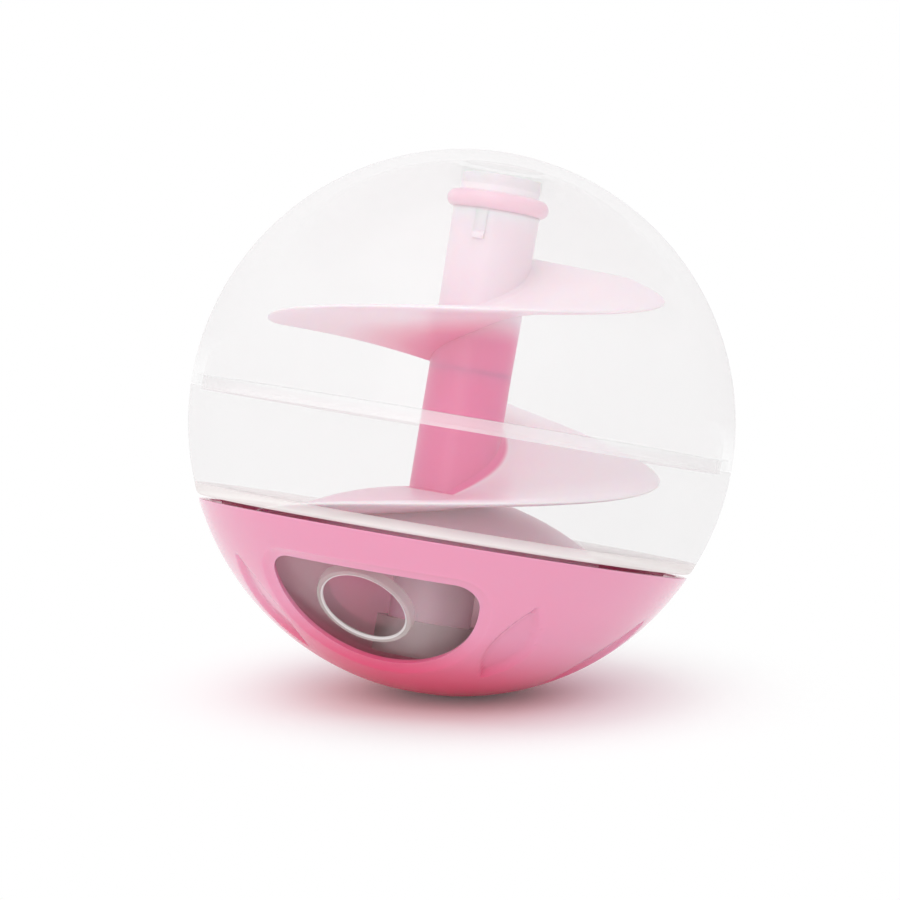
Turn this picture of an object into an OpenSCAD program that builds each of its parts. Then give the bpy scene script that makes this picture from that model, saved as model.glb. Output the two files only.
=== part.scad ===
// Cat treat ball: a clear ball with a spiral tower inside and a base that turns to open or shut the outlet.
// Millimetres. +Z is the ball's axis and the origin is the centre of the flat it stands on.
// The base's window faces -Y. Azimuths run from -Y towards +X. Heights are taken from the ball's middle.

/* [Ball] */
// Outside diameter of the ball
ball_d = 100; // [92:1:110]
// Wall of the clear dome and of the side of the bowl
shell_wall = 2; // [1.8:0.1:2.4]
// Diameter of the flat the ball stands on
foot_d = 12; // [6:1:16]

/* [Seam of dome and bowl] */
// Height of the lap, half of it above the middle of the ball
lap_h = 1.7; // [1.4:0.1:2.4]
// Gap left all round in the lap
lap_gap = 0.3; // [0.2:0.05:0.4]

/* [Bowl] */
// Height of the thick lip above the base
lip_h = 2.2; // [1.8:0.1:3]
// Rounding of the lip's lower edge
lip_round = 1; // [0.4:0.1:1.4]
// Open gap between the lip and the base
lip_gap = 0.7; // [0.5:0.05:1]
// Wall of the small bowl inside the base
bowl_wall = 1.8; // [1.4:0.1:2.2]
// Space between the small bowl and the base
bowl_space = 2; // [1.8:0.1:2.4]

/* [Outlet] */
// Bore of the treat outlet
outlet_d = 15.6; // [14:0.2:17]
// Thickness of the collar round the outlet
outlet_wall = 1.2; // [1:0.1:1.6]
// Azimuth of the outlet with the base as photographed
outlet_azimuth = -4; // [-12:1:12]
// Angle of the outlet below the middle
outlet_angle = 48; // [46:1:50]

/* [Base] */
// Drop of the base's rim below the middle
rim_drop = 21.3; // [20:0.1:22]
// Wall of the base
base_wall = 1.8; // [1.6:0.1:2]
// Running gap between the base and the bowl
run_gap = 0.3; // [0.25:0.05:0.35]
// Height of each snap ring
snap_h = 1; // [0.8:0.1:1.2]
// Angle of the window's middle below the middle of the ball
window_angle = 48; // [46:1:50]
// Height of the window above its middle
window_rise = 11; // [10:0.2:11.4]
// Depth of the window below its middle
window_fall = 13.6; // [12:0.2:14]
// Radius of the window's top edge
window_top_r = 54; // [44:1:70]
// Radius of the window's lower edge
window_low_r = 19.4; // [18:0.2:20]
// Radius of the window's two corners
window_corner_r = 5.4; // [2:0.2:6]
// Width of the dished border round the window
border_w = 2.2; // [1.4:0.1:2.6]
// Depth of the dished border at the window
border_depth = 0.6; // [0.3:0.1:0.8]

/* [Leaf dents] */
// Places round the base, one of which the window takes
leaf_places = 8; // [6:1:8]
// Length of a leaf
leaf_l = 19; // [14:0.5:19]
// Width of a leaf
leaf_w = 6.4; // [4:0.2:7]
// Angle of a leaf's middle below the middle of the ball
leaf_angle = 50.4; // [48:0.2:52]

/* [Tower column] */
// Diameter of the column, and of the upper one at its foot
column_d = 15.2; // [14.6:0.1:15.6]
// Diameter of the upper column at its top
column_top_d = 16; // [15.6:0.1:16.6]
// Wall of the column
column_wall = 1.5; // [1.3:0.1:1.7]
// Length of the spigot below the joint
spigot_l = 15.5; // [10:0.5:16]
// Drop of the upper column's top below the top of the ball
cap_drop = 11; // [10.6:0.1:11.4]
// Fit of spigot, plug and foot
fit_gap = 0.15; // [0.1:0.05:0.2]
// Height of the socket in the bowl
socket_h = 6; // [4:0.5:8]
// Height of the bowl's pad under the column
pad_h = 1.8; // [1.5:0.1:2.2]

/* [Tower cap] */
// Diameter of the cap's collar
cap_d = 18.8; // [18:0.2:19.6]
// Height of the collar
cap_h = 3.2; // [3:0.1:3.6]
// Diameter of the neck above the collar
neck_d = 14.6; // [14:0.1:15]
// Height of the neck
neck_h = 3.4; // [3:0.1:3.4]
// Azimuth of the snap tab
tab_azimuth = -1; // [-10:1:10]
// Width of the snap tab
tab_w = 2.2; // [1.8:0.1:2.6]
// Length of the snap tab below the collar
tab_l = 5.6; // [5:0.1:6]

/* [Ramps] */
// Tread height at the start of the upper ramp, as a share of the ball's diameter
upper_start_ratio = 0.32; // [0.318:0.001:0.324]
// Azimuth at which the upper ramp starts
upper_start = 138; // [126:1:150]
// Turn of the upper ramp
upper_turn = 215; // [200:1:216]
// Drop of the upper ramp in a full turn, as a share of the ball's diameter
upper_pitch_ratio = 0.305; // [0.29:0.005:0.31]
// How much steeper the upper ramp is at its start than on average
upper_ease = 0.3; // [0:0.05:0.4]
// Gap between the dome and the upper ramp's rim at its start
upper_start_gap = 2.7; // [2.2:0.1:4]
// Gap between the dome and the upper ramp's rim at its end
upper_end_gap = 7.2; // [6:0.1:9]
// Tread height at the start of the lower ramp, as a share of the ball's diameter
lower_start_ratio = 0.067; // [0.06:0.001:0.068]
// Azimuth at which the lower ramp starts
lower_start = 195; // [180:1:205]
// Turn of the lower ramp
lower_turn = 262; // [220:1:270]
// Drop of the lower ramp in a full turn, as a share of the ball's diameter
lower_pitch_ratio = 0.4; // [0.36:0.005:0.41]
// How much steeper the lower ramp is at its start than on average
lower_ease = 0.14; // [0:0.01:0.2]
// Outer radius of the lower ramp
lower_r = 37.5; // [35:0.2:37.8]
// Thickness of a ramp at its rim
ramp_rim_t = 1.4; // [1.3:0.1:1.8]
// Thickness of a ramp at the column
ramp_root_t = 3.6; // [3:0.1:3.8]
// Rounding between tread and column
ramp_fillet = 1.8; // [1.2:0.1:1.8]
// Gap between the lower ramp's end and the bowl
ramp_clear = 2; // [1.6:0.1:3]

/* [Apron under the tower] */
// Outer radius of the apron
apron_r = 29; // [27:0.5:30]
// Height of the apron at the column
apron_top_z = -13; // [-14:0.1:-12]
// Drop of the apron from the column to its edge
apron_drop = 8; // [7:0.2:9]
// Thickness of the apron
apron_t = 1.6; // [1.4:0.1:2]

/* [Hidden] */
$fn = 128;
CLEAR = [0.93, 0.94, 0.95, 0.3];
PINK = [0.93, 0.55, 0.68];
// Overlap that lets one shape run into the next
bite = 0.4;
ball_r = ball_d / 2;
foot_r = foot_d / 2;
middle_z = sqrt(pow(ball_r, 2) - pow(foot_r, 2));
shell_in_r = ball_r - shell_wall;
lap_r = ball_r - shell_wall / 2;
rim_z = -rim_drop;
lip_z = rim_z + lip_gap;
base_in_r = ball_r - base_wall;
bowl_r = base_in_r - bowl_space;
bowl_in_r = bowl_r - bowl_wall;
outlet_r = outlet_d / 2;
collar_r = outlet_r + outlet_wall;
collar_reach = sqrt(pow(base_in_r - run_gap, 2) - pow(collar_r, 2));
bead_top = rim_z - snap_h / 2;
rib_top = bead_top - snap_h - 2 * run_gap;
column_r = column_d / 2;
column_top_r = column_top_d / 2;
bore_r = column_r - column_wall;
spigot_r = bore_r - fit_gap;
spigot_bore_r = spigot_r - column_wall;
floor_z = -sqrt(pow(bowl_in_r, 2) - pow(column_r, 2));
pad_z = floor_z + pad_h / 2;
socket_r = column_r + fit_gap;
// Most that a ramp's rounding rises, and its curve underneath
fillet_rise = 1.2 * ramp_fillet;
ramp_curve = 2.4;
upper_start_z = upper_start_ratio * ball_d;
upper_pitch = upper_pitch_ratio * ball_d;
upper_end_z = upper_start_z - upper_pitch * upper_turn / 360;
upper_start_r = sqrt(pow(shell_in_r - upper_start_gap, 2) - pow(upper_start_z, 2));
upper_end_r = sqrt(pow(shell_in_r - upper_end_gap, 2) - pow(upper_end_z, 2));
lower_start_z = lower_start_ratio * ball_d;
lower_pitch = lower_pitch_ratio * ball_d;
// Joint of the two columns, midway between the roots of the two ramps
joint_z = (upper_end_z - ramp_root_t + lower_start_z + fillet_rise) / 2;
column_top = ball_r - cap_drop;
cap_r = cap_d / 2;
neck_r = neck_d / 2;
cap_top = column_top + cap_h;
ring_r = neck_r + run_gap;
ring_z = cap_top + 4 * run_gap;
ring_top = sqrt(pow(shell_in_r + bite, 2) - pow(ring_r + shell_wall, 2));
tab_z = column_top - tab_l;
leaf_depth = ball_r - sqrt(pow(ball_r, 2) - pow(leaf_l / 2, 2));
leaf_sag = leaf_depth - ball_r + sqrt(pow(ball_r, 2) - pow(leaf_w / 2, 2));
leaf_r = (pow(leaf_w / 2, 2) + pow(leaf_sag, 2)) / (2 * leaf_sag);
// Half of the arc under a leaf, wide enough to leave the ball on both sides
leaf_arc = 45;
// Centre of the apron's ball-shaped top, below the column
apron_c = (pow(apron_r, 2) - pow(column_r, 2) + pow(apron_drop, 2)) / (2 * apron_drop);
apron_ball_r = sqrt(pow(apron_c, 2) + pow(column_r, 2));

// Point at an azimuth, a radius and a height
function polar(a, r, z) = [r * sin(a), -r * cos(a), z];

// Points of an arc in a plane, in n steps, less the last few
function arc(c, r, from, to, n, less = 0) = [for (i = [0 : n - less]) let (a = from + (to - from) * i / n)
    c + r * [cos(a), sin(a)]];

// Heights down a ramp in n equal steps, steeper at its start and flatter at its end
function heights(start_z, drop, ease, n) = [for (i = [0 : n]) let (t = i / n)
    start_z - drop * (t + ease * t * (1 - t))];

// Widest radius a ramp may have at a height inside the bowl
function bowl_room(z) = sqrt(pow(bowl_in_r - ramp_clear, 2) - pow(z - ramp_rim_t, 2));

// Height of a ramp's upper face over its tread, and of its lower face
function ramp_top(r) = min(fillet_rise, pow(max(column_r + ramp_fillet - r, 0), 2) / ramp_fillet);
function ramp_low(r, rim_r) = let (inward = min(1, (rim_r - r) / (rim_r - column_r)))
    -ramp_rim_t - (ramp_root_t - ramp_rim_t) * pow(inward, ramp_curve);

// Section of a ramp as radius and height over the tread: out along the tread and back along the underside
function ramp_section(rim_r) = let (
    root = column_r - column_wall / 2,
    toe = column_r + ramp_fillet,
    nose = ramp_rim_t / 2,
    span = rim_r - nose - toe,
    rounding = [root, column_r + ramp_fillet / 3, toe - ramp_fillet / 3],
    tread = [for (i = [0 : 3]) toe + span * i / 3],
    stations = concat(rounding, tread)
) concat(
    [for (r = stations) [r, ramp_top(r)]],
    [[rim_r, -nose / 2], [rim_r, nose / 2 - ramp_rim_t]],
    [for (i = [len(stations) - 1 : -1 : 0]) [stations[i], ramp_low(stations[i], rim_r)]]
);

// Solid swept through equal rings of points, closed on itself or with ends laid between a ring's two halves
module skin(sections, closed = false) {
    m = len(sections[0]);
    n = len(sections);
    far = (n - 1) * m;
    last = closed ? n - 1 : n - 2;
    sides = [for (i = [0 : last], j = [0 : m - 1]) let (k = (j + 1) % m, next = (i + 1) % n)
        each [
            [i * m + j, next * m + k, next * m + j],
            [i * m + j, i * m + k, next * m + k]
        ]];
    ends = closed ? [] : [for (j = [0 : m / 2 - 2]) let (k = m - 1 - j)
        each [
            [k - 1, j + 1, j],
            [k, k - 1, j],
            [far + j, far + j + 1, far + k - 1],
            [far + j, far + k - 1, far + k]
        ]];
    polyhedron([for (s = sections) each s], concat(ends, sides), convexity = 6);
}

// Ramp that winds down from its start, with an outer radius for each height
module ramp(start, turn, treads, radii) {
    n = len(treads) - 1;
    skin([for (i = [0 : n]) let (a = start - turn * i / n)
        [for (p = ramp_section(radii[i])) polar(a, p[0], treads[i] + p[1])]]);
}

// Children turned from +Z to an outward direction below the middle of the ball
module outward(azimuth, angle) {
    rotate([0, 0, azimuth]) rotate([90 + angle, 0, 0]) children();
}

// Ring between two circles, cut to a band of heights
module band(outer, inner, low, high) {
    intersection() {
        difference() {
            circle(r = outer);
            circle(r = inner);
        }
        translate([0, low]) square([outer, high - low]);
    }
}

// Corner that rounds the lip's lower edge
module lip_corner() {
    c = [sqrt(pow(ball_r - lip_round, 2) - pow(lip_z + lip_round, 2)), lip_z + lip_round];
    side = atan2(c[1], c[0]);
    polygon(concat(
        arc(c, lip_round, side, -90, 6),
        [[c[0], lip_z - bite], [ball_r, lip_z - bite], [ball_r, c[1] * ball_r / (ball_r - lip_round)]]
    ));
}

// Outline of the window: two wide arcs joined by two small corners
function window_outline(grow = 0) = let (
    top_r = window_top_r + grow,
    low_r = window_low_r + grow,
    r = window_corner_r + grow,
    top_c = window_rise - window_top_r,
    low_c = window_low_r - window_fall,
    y = (pow(low_r - r, 2) - pow(top_r - r, 2) + pow(top_c, 2) - pow(low_c, 2)) / (2 * (top_c - low_c)),
    x = sqrt(pow(low_r - r, 2) - pow(y - low_c, 2)),
    at_top = atan2(y - top_c, x),
    at_low = atan2(y - low_c, x)
) concat(
    arc([0, top_c], top_r, at_top, 180 - at_top, 16, 1),
    arc([-x, y], r, 180 - at_top, 180 - at_low, 8, 1),
    arc([0, low_c], low_r, 180 - at_low, 360 + at_low, 24, 1),
    arc([x, y], r, at_low, at_top, 8, 1)
);

// Border cutter, deepest at the window and running out on the ball's surface
module window_border() {
    inner = window_outline(-bite);
    edge = window_outline();
    outer = window_outline(border_w);
    function on_ball(p, r) = [p[0], p[1], sqrt(pow(r, 2) - pow(p[0], 2) - pow(p[1], 2))];
    n = len(edge);
    skin([for (i = [0 : n - 1]) [
        on_ball((edge[i] + outer[i]) / 2, ball_r - border_depth / 3),
        on_ball(outer[i], ball_r + border_depth / 4),
        on_ball(outer[i], ball_r + 1),
        on_ball(inner[i], ball_r + 1),
        on_ball(inner[i], ball_r - border_depth - bite / 2)
    ]], closed = true);
}

// Cutter of a leaf: a straight round-bottomed groove that the ball's curve ends in two points
module leaf() {
    rotate([90, 0, 0]) linear_extrude(height = 2 * leaf_l, center = true)
        polygon(arc([0, ball_r + leaf_r - leaf_depth], leaf_r, -90 - leaf_arc, leaf_arc - 90, 9));
}

// Clear upper half: lifts off the lap to fill the ball, and steadies the tower's neck at the top
module upper_dome() {
    color(CLEAR) translate([0, 0, middle_z]) rotate_extrude() {
        difference() {
            band(ball_r, shell_in_r, -lap_h / 2, ball_r);
            translate([0, -lap_h]) square([lap_r + lap_gap / 2, 1.5 * lap_h + lap_gap]);
        }
        translate([ring_r, ring_z]) square([shell_wall, ring_top - ring_z]);
    }
}

// Clear lower half: side, thick lip, small bowl with the outlet, and the socket of the tower
module lower_bowl() {
    color(CLEAR) translate([0, 0, middle_z]) difference() {
        union() {
            rotate_extrude() difference() {
                union() {
                    band(ball_r, shell_in_r, lip_z, -lap_h / 2 - lap_gap);
                    band(ball_r, bowl_in_r, lip_z, lip_z + lip_h);
                    band(bowl_r, bowl_in_r, -bowl_r, lip_z + bite);
                    band(base_in_r - run_gap, bowl_in_r + bite, rib_top - snap_h, rib_top);
                    translate([shell_in_r, -lap_h / 2 - lap_gap - shell_wall])
                        square([lap_r - lap_gap / 2 - shell_in_r, lap_h + lap_gap + shell_wall]);
                    intersection() {
                        circle(r = bowl_in_r + bite);
                        union() {
                            translate([0, -bowl_r]) square([socket_r + bowl_wall, bowl_r + pad_z]);
                            translate([socket_r, -bowl_r]) square([bowl_wall, bowl_r + pad_z + socket_h]);
                        }
                    }
                }
                lip_corner();
            }
            outward(outlet_azimuth, outlet_angle) difference() {
                cylinder(r = collar_r, h = collar_reach);
                sphere(r = bowl_in_r + bite);
            }
        }
        outward(outlet_azimuth, outlet_angle)
            translate([0, 0, bowl_in_r / 2]) cylinder(r = outlet_r, h = bowl_r);
    }
}

// Pink base: snaps under the bowl's ring, turns on it and uncovers the outlet with its window
module base_cover() {
    color(PINK) translate([0, 0, middle_z]) difference() {
        rotate([0, 0, 180 / leaf_places]) rotate_extrude() {
            band(ball_r, base_in_r, -middle_z, rim_z);
            band(base_in_r + bite, bowl_r + run_gap, bead_top - snap_h, bead_top);
        }
        outward(0, window_angle) {
            linear_extrude(height = ball_d) polygon(window_outline());
            window_border();
        }
        for (i = [1 : leaf_places - 1])
            outward(i * 360 / leaf_places, leaf_angle) leaf();
    }
}

// Upper half of the tower: column with the upper ramp, a spigot below and the slot of the cap's tab
module upper_ramp() {
    steps = 54;
    color(PINK) translate([0, 0, middle_z]) difference() {
        union() {
            translate([0, 0, joint_z]) cylinder(r1 = column_r, r2 = column_top_r, h = column_top - joint_z);
            translate([0, 0, joint_z - spigot_l]) cylinder(r = spigot_r, h = spigot_l + column_wall);
            ramp(upper_start, upper_turn,
                heights(upper_start_z, upper_start_z - upper_end_z, upper_ease, steps),
                [for (i = [0 : steps]) upper_start_r + (upper_end_r - upper_start_r) * i / steps]);
        }
        translate([0, 0, joint_z + column_wall]) cylinder(r = bore_r, h = column_top - joint_z);
        translate([0, 0, joint_z - spigot_l - 1])
            cylinder(r = spigot_bore_r, h = spigot_l + column_wall + 2);
        rotate([0, 0, tab_azimuth])
            translate([-tab_w / 2 - run_gap, -column_top_r - 1, tab_z - run_gap])
                cube([tab_w + 2 * run_gap, column_top_r - bore_r + 2, tab_l + 1]);
    }
}

// Lower half of the tower: column, lower ramp and the apron that throws the treats outwards
module lower_ramp() {
    steps = 66;
    treads = heights(lower_start_z, lower_pitch * lower_turn / 360, lower_ease, steps);
    color(PINK) translate([0, 0, middle_z]) difference() {
        union() {
            translate([0, 0, pad_z]) cylinder(r = column_r, h = joint_z - pad_z);
            ramp(lower_start, lower_turn, treads, [for (z = treads) min(lower_r, bowl_room(z))]);
            translate([0, 0, apron_top_z - apron_c]) intersection() {
                difference() {
                    sphere(r = apron_ball_r);
                    sphere(r = apron_ball_r - apron_t);
                }
                cylinder(r = apron_r, h = apron_ball_r);
            }
        }
        translate([0, 0, pad_z - 1]) cylinder(r = bore_r, h = joint_z - pad_z + 2);
    }
}

// Cap on the tower: round collar, neck for the dome's ring, plug and snap tab
module tower_cap() {
    color(PINK) translate([0, 0, middle_z]) {
        rotate_extrude() {
            translate([0, column_top]) square([cap_r - cap_h / 2, column_wall]);
            translate([neck_r - column_wall, column_top]) square([column_wall, cap_h + neck_h]);
            intersection() {
                translate([cap_r - cap_h / 2, column_top + cap_h / 2]) circle(d = cap_h);
                translate([neck_r - column_wall, column_top]) square([cap_r, cap_h]);
            }
            translate([neck_r - column_wall, column_top])
                square([cap_r - cap_h / 2 - neck_r + column_wall, cap_h]);
            translate([spigot_bore_r, column_top - tab_l / 2]) square([column_wall, tab_l / 2 + bite]);
        }
        rotate([0, 0, tab_azimuth]) {
            translate([-tab_w / 2, -column_top_r, tab_z])
                cube([tab_w, column_top_r - bore_r + column_wall / 2, tab_l + bite]);
            translate([-tab_w / 2, -column_top_r - column_wall / 3, tab_z])
                cube([tab_w, column_wall, column_wall]);
        }
    }
}

upper_dome();
lower_bowl();
base_cover();
upper_ramp();
lower_ramp();
tower_cap();
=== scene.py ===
"""Looks of a cat treat ball: clear shells, a pink turning base and a spiral tower, on a white studio floor."""

import logging
import math
from dataclasses import dataclass, field
from enum import Enum, IntEnum
from functools import cache
from typing import Callable, Sequence

import bmesh
import bpy
from mathutils import Matrix, Vector
from mathutils.geometry import delaunay_2d_cdt


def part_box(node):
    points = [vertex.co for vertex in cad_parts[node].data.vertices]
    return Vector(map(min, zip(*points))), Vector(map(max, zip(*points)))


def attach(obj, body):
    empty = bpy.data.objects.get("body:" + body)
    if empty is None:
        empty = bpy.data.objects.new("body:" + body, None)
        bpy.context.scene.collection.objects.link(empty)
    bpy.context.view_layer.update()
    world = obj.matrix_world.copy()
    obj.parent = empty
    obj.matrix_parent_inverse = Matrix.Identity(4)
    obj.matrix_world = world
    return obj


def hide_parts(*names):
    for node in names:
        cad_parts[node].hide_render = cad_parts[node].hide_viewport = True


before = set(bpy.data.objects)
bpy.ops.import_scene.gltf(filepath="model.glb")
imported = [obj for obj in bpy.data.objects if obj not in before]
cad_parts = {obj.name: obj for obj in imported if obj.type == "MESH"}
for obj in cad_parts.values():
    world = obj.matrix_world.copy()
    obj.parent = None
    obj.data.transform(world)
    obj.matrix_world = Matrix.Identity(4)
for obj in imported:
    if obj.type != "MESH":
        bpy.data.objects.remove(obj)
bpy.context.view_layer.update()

MM = 0.001
# Steps round a turned piece
STEPS = 224
# Name of the value that tells how far a point is pressed in
DENT = "pressed"

Point = tuple[float, float]
log = logging.getLogger("treat_ball")


class Body(Enum):
    """The moving bodies of the ball."""

    BOWL = "bowl"
    DOME = "dome"
    BASE = "base"


class Slot(Enum):
    """The record's finishes."""

    CLEAR = "clear_plastic"
    PINK = "pink_plastic"


# Node trees

def add_node(tree: bpy.types.NodeTree, kind: str, inputs: dict | None = None, **settings) -> bpy.types.Node:
    """Adds a node with its settings, values and links.

    Args:
        tree: The tree that takes the node.
        kind: Blender's name for the kind of node.
        inputs: A value or a socket to link for each input, by name or number.
        **settings: The node's own properties.

    Returns:
        The new node.
    """
    node = tree.nodes.new(kind)
    for name, value in settings.items():
        setattr(node, name, value)
    for key, value in (inputs or {}).items():
        if isinstance(value, bpy.types.NodeSocket):
            tree.links.new(value, node.inputs[key])
        else:
            node.inputs[key].default_value = value
    return node


Step = tuple[str, str, str | float, str | float]


def work_out(tree: bpy.types.NodeTree, values: dict[str, bpy.types.NodeSocket], steps: Sequence[Step]) -> None:
    """Adds a formula to a tree, one sum to a step.

    Args:
        tree: The tree that takes the sums.
        values: The named values so far; each step adds its own.
        steps: The name of each result, its operation and its two numbers or names.
    """
    for name, operation, *terms in steps:
        linked = {i: values[t] if isinstance(t, str) else t for i, t in enumerate(terms)}
        values[name] = add_node(tree, "ShaderNodeMath", linked, operation=operation).outputs[0]


def srgb(code: str) -> tuple[float, float, float, float]:
    """Turns a colour's sRGB hex code to linear.

    Args:
        code: Six hex digits.

    Returns:
        Red, green, blue and alpha.
    """
    parts = [int(code[i:i + 2], 16) / 255 for i in (0, 2, 4)]
    linear = [c / 12.92 if c <= 0.04045 else ((c + 0.055) / 1.055) ** 2.4 for c in parts]
    return (*linear, 1.0)


# Finishes

@dataclass(frozen=True)
class Zone:
    """Where a piece's colour is deeper, in millimetres from the axis and above the foot, and how deep it is: some zones
    stand for a thick wall, others are painted shade and painted light.
    """

    rim: float
    core: float
    top: float
    full: float
    low: float = -20.0
    bottom: float = -30.0
    share: float = 1.0

    def mask(self, tree: bpy.types.NodeTree, values: dict[str, bpy.types.NodeSocket]) -> bpy.types.NodeSocket:
        """Adds the zone to a material.

        Args:
            tree: The material's tree.
            values: The point's radius and height in metres, as "r" and "z".

        Returns:
            A value that grows from 0 outside the zone to its share inside it.
        """
        parts = dict(values)
        for name, value, start, end in (("across", "r", self.rim, self.core), ("down", "z", self.top, self.full),
                                        ("up", "z", self.bottom, self.low)):
            parts[name] = add_node(tree, "ShaderNodeMapRange",
                                   {"Value": values[value], "From Min": start * MM, "From Max": end * MM},
                                   interpolation_type="SMOOTHSTEP").outputs["Result"]
        work_out(tree, parts, [("side", "MULTIPLY", "across", "down"), ("all", "MULTIPLY", "side", "up"),
                               ("depth", "MULTIPLY", "all", self.share)])
        return parts["depth"]


@dataclass(frozen=True)
class PinkPlastic:
    """Pink ABS, injection moulded and polished: glossy, pale where light passes its wall, and deeper in given zones,
    some where the wall is thick, others painted shade and painted light.
    """

    name: str
    colour: str
    deep_colour: str
    roughness: float
    glow: float
    glow_depth_mm: float
    lacquer: float
    zones: tuple[Zone, ...]
    cloud_mm: float = 16.0
    peel_mm: float = 0.7
    peel_depth_mm: float = 0.004

    @cache
    def material(self) -> bpy.types.Material:
        """Builds the material.

        Returns:
            The material, deeper in its zones (a thick wall, painted shade and painted light) and, as painted shade,
            where it is pressed in, with soft clouds in its colour and a fine skin like orange peel.
        """
        made = bpy.data.materials.new(self.name)
        made.use_nodes = True
        tree = made.node_tree
        surface = tree.nodes["Principled BSDF"]
        place = add_node(tree, "ShaderNodeTexCoord").outputs["Object"]
        split = add_node(tree, "ShaderNodeSeparateXYZ", {0: place}).outputs
        clouds = add_node(tree, "ShaderNodeTexNoise",
                          {"Vector": place, "Scale": 1 / (self.cloud_mm * MM), "Detail": 2.0})
        dents = add_node(tree, "ShaderNodeAttribute", attribute_name=DENT)
        values = {"x": split[0], "y": split[1], "z": split[2], "clouds": clouds.outputs["Fac"],
                  "dents": dents.outputs["Fac"]}
        work_out(tree, values, [
            ("xx", "MULTIPLY", "x", "x"),
            ("yy", "MULTIPLY", "y", "y"),
            ("rr", "ADD", "xx", "yy"),
            ("r", "SQRT", "rr", 0.0),
            ("deep", "MULTIPLY", "clouds", 0.04),
        ])
        for zone in self.zones:
            values["zone"] = zone.mask(tree, values)
            work_out(tree, values, [("deep", "MAXIMUM", "deep", "zone")])
        work_out(tree, values, [
            ("thin", "SUBTRACT", 1.0, "deep"),
            ("coat", "MULTIPLY", "thin", self.lacquer),
            # The leaf dents take a deeper pink: painted shade in the recesses
            ("pressed", "MULTIPLY", "dents", 0.3),
            ("deep", "ADD", "deep", "pressed"),
        ])
        # Colour mixed towards the deep pink: the wall's own depth and clouds, with the zones' painted shade and painted
        # light and the dents' painted shade
        colour_with_shade = add_node(tree, "ShaderNodeMix", {0: values["deep"], 6: srgb(self.colour), 7: srgb(self.deep_colour)},
                        data_type="RGBA")
        peel = add_node(tree, "ShaderNodeTexNoise",
                        {"Vector": place, "Scale": 1 / (self.peel_mm * MM), "Detail": 1.0})
        shine = add_node(tree, "ShaderNodeMapRange",
                         {"Value": values["clouds"], "To Min": self.roughness - 0.04,
                          "To Max": self.roughness + 0.04})
        bump = add_node(tree, "ShaderNodeBump", {"Height": peel.outputs["Fac"], "Strength": 0.35,
                                                 "Distance": self.peel_depth_mm * MM})
        tree.links.new(colour_with_shade.outputs[2], surface.inputs["Base Color"])
        tree.links.new(shine.outputs["Result"], surface.inputs["Roughness"])
        tree.links.new(bump.outputs["Normal"], surface.inputs["Normal"])
        surface.inputs["IOR"].default_value = 1.53
        tree.links.new(values["coat"], surface.inputs["Coat Weight"])
        surface.inputs["Coat Roughness"].default_value = 0.12
        surface.inputs["Subsurface Weight"].default_value = self.glow
        surface.inputs["Subsurface Radius"].default_value = (1.0, 0.35, 0.5)
        surface.inputs["Subsurface Scale"].default_value = self.glow_depth_mm * MM
        return made


@dataclass(frozen=True)
class ClearPlastic:
    """Clear polystyrene, injection moulded: see-through under a milky veil that thickens towards the ball's top."""

    name: str
    veil_colour: str
    veil: float
    top_veil: float = 0.0
    slant_veil: float = 0.0
    gloss: float = 0.012
    gloss_roughness: float = 0.22
    flow_mm: float = 22.0
    low_mm: float = 62.0
    high_mm: float = 96.0

    @cache
    def material(self) -> bpy.types.Material:
        """Builds the material.

        Returns:
            The material: a clear film mixed with a pale veil, under a gloss that grows at a low angle.
        """
        made = bpy.data.materials.new(self.name)
        made.use_nodes = True
        tree = made.node_tree
        haze = tree.nodes["Principled BSDF"]
        haze.inputs["Base Color"].default_value = srgb(self.veil_colour)
        haze.inputs["Roughness"].default_value = 0.6
        haze.inputs["Specular IOR Level"].default_value = 0.1
        place = add_node(tree, "ShaderNodeTexCoord").outputs["Object"]
        height = add_node(tree, "ShaderNodeSeparateXYZ", {0: place}).outputs[2]
        rise = add_node(tree, "ShaderNodeMapRange", {"Value": height, "From Min": self.low_mm * MM,
                                                     "From Max": self.high_mm * MM, "To Max": self.top_veil})
        flow = add_node(tree, "ShaderNodeTexNoise",
                        {"Vector": place, "Scale": 1 / (self.flow_mm * MM), "Detail": 3.0})
        facing = add_node(tree, "ShaderNodeLayerWeight", {"Blend": 0.5}).outputs["Facing"]
        values = {"facing": facing, "flow": flow.outputs["Fac"], "rise": rise.outputs["Result"]}
        work_out(tree, values, [
            ("slant", "POWER", "facing", 3.0),
            ("edge", "MULTIPLY", "slant", self.slant_veil),
            ("even", "ADD", "edge", self.veil * 0.9),
            ("drift", "MULTIPLY", "flow", self.veil * 0.2),
            ("body", "ADD", "even", "drift"),
            ("veil", "ADD", "body", "rise"),
            ("steep", "POWER", "facing", 5.0),
            ("sheen", "MULTIPLY", "steep", self.gloss * 1.5),
            ("mirror", "ADD", "sheen", self.gloss),
        ])
        film = add_node(tree, "ShaderNodeBsdfTransparent")
        body = add_node(tree, "ShaderNodeMixShader",
                        {0: values["veil"], 1: film.outputs[0], 2: haze.outputs[0]})
        gloss = add_node(tree, "ShaderNodeBsdfGlossy", {"Roughness": self.gloss_roughness})
        skin = add_node(tree, "ShaderNodeMixShader",
                        {0: values["mirror"], 1: body.outputs[0], 2: gloss.outputs[0]})
        tree.links.new(skin.outputs[0], tree.nodes["Material Output"].inputs["Surface"])
        return made


# The base's pink deepens towards the foot: painted shade, where the bottom gets little light
COVER_PINK = PinkPlastic("pink_abs_polished_with_painted_shade", "E996B6", "DE2A62", 0.22, 0.35, 3.0, 0.7, (Zone(80, 70, 15, 0),))
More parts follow.
